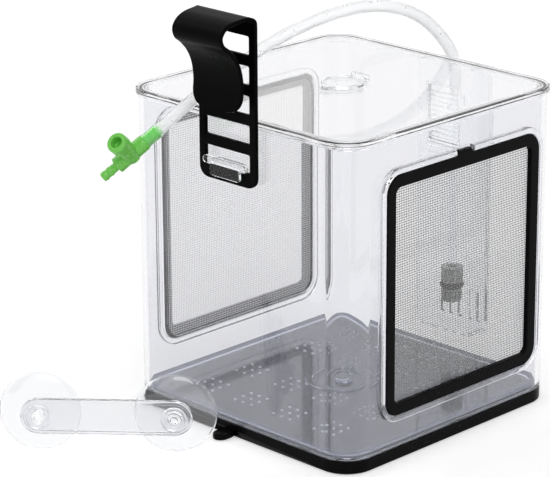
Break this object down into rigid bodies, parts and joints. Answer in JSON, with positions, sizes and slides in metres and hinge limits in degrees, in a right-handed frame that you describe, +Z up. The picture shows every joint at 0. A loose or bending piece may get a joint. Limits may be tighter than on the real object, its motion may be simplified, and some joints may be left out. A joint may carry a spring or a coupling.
{
  "type": "fish breeding box",
  "caption": "Clear fish breeding box with a lid, mesh windows, an air-driven water lift, a hanging bracket and a bar of suction cups.",
  "frame": {"origin": "middle of the base tray's underside, on the surface the box stands on", "axes": "+Z up, -Y towards the hanging bracket, +Y towards the water lift, the mesh windows on +X and -X"},
  "size_m": [0.1554, 0.2563, 0.2144],
  "materials": {
    "black_plastic": "satin moulded plastic",
    "clear_plastic": "clear polished plastic",
    "clear_part": "clear moulded plastic",
    "steel_mesh": "fine woven wire",
    "grey_plastic": "matt moulded plastic",
    "hose": "translucent soft hose",
    "green_plastic": "tinted translucent plastic",
    "soft_clear": "clear soft plastic"
  },
  "bodies": {
    "base": {"base_tray": "black_plastic", "suction_bar": "clear_part"},
    "tank": {"tank_shell": "clear_plastic", "wall_hook": "clear_part", "riser_duct": "clear_part", "intake_box": "clear_part", "outlet_grille": "clear_part", "outlet_spout": "clear_part", "pipe_holder": "clear_part", "air_pipe": "clear_part", "nozzle_sleeve": "grey_plastic", "nozzle_collar": "grey_plastic", "nozzle_cage": "grey_plastic"},
    "floor_plate": {"floor_plate": "clear_plastic"},
    "lid": {"lid": "clear_plastic", "air_hose": "hose", "valve_body": "green_plastic"},
    "feed_cover": {"feed_cover": "clear_part"},
    "valve_knob": {"valve_knob": "green_plastic"},
    "window_right": {"frame_right": "black_plastic", "mesh_right": "steel_mesh"},
    "window_left": {"frame_left": "black_plastic", "mesh_left": "steel_mesh"},
    "bracket": {"hanger_bracket": "black_plastic"},
    "cup_right": {"cup_right": "soft_clear"},
    "cup_left": {"cup_left": "soft_clear"}
  },
  "joints": [
    {"name": "tank_lift", "type": "slide", "parent": "base", "child": "tank", "axis": [0, 0, 1], "range_m": [0, 0.02]},
    {"name": "plate_lift", "type": "slide", "parent": "tank", "child": "floor_plate", "axis": [0, 0, 1], "range_m": [0, 0.05]},
    {"name": "lid_lift", "type": "slide", "parent": "tank", "child": "lid", "axis": [0, 0, 1], "range_m": [0, 0.04]},
    {"name": "feed_cover_hinge", "type": "hinge", "parent": "lid", "child": "feed_cover", "pos_m": [0, 0.0124, 0.1654], "axis": [-1, 0, 0], "range_deg": [0, 110]},
    {"name": "valve_turn", "type": "hinge", "parent": "lid", "child": "valve_knob", "pos_m": [-0.04254, -0.1016, 0.14127], "axis": [0.2129, -0.7767, 0.5928], "range_deg": [0, 900]},
    {"name": "window_right_pull", "type": "slide", "parent": "tank", "child": "window_right", "axis": [1, 0, 0], "range_m": [0, 0.02]},
    {"name": "window_left_pull", "type": "slide", "parent": "tank", "child": "window_left", "axis": [-1, 0, 0], "range_m": [0, 0.02]},
    {"name": "bracket_drop", "type": "slide", "parent": "tank", "child": "bracket", "axis": [0, 0, -1], "range_m": [0, 0.0057]},
    {"name": "cup_right_turn", "type": "hinge", "parent": "base", "child": "cup_right", "pos_m": [-0.00863, -0.10664, 0.02], "axis": [0.6613, -0.7501, 0], "continuous": true},
    {"name": "cup_left_turn", "type": "hinge", "parent": "base", "child": "cup_left", "pos_m": [-0.05777, -0.14996, 0.02], "axis": [0.6613, -0.7501, 0], "continuous": true}
  ]
}
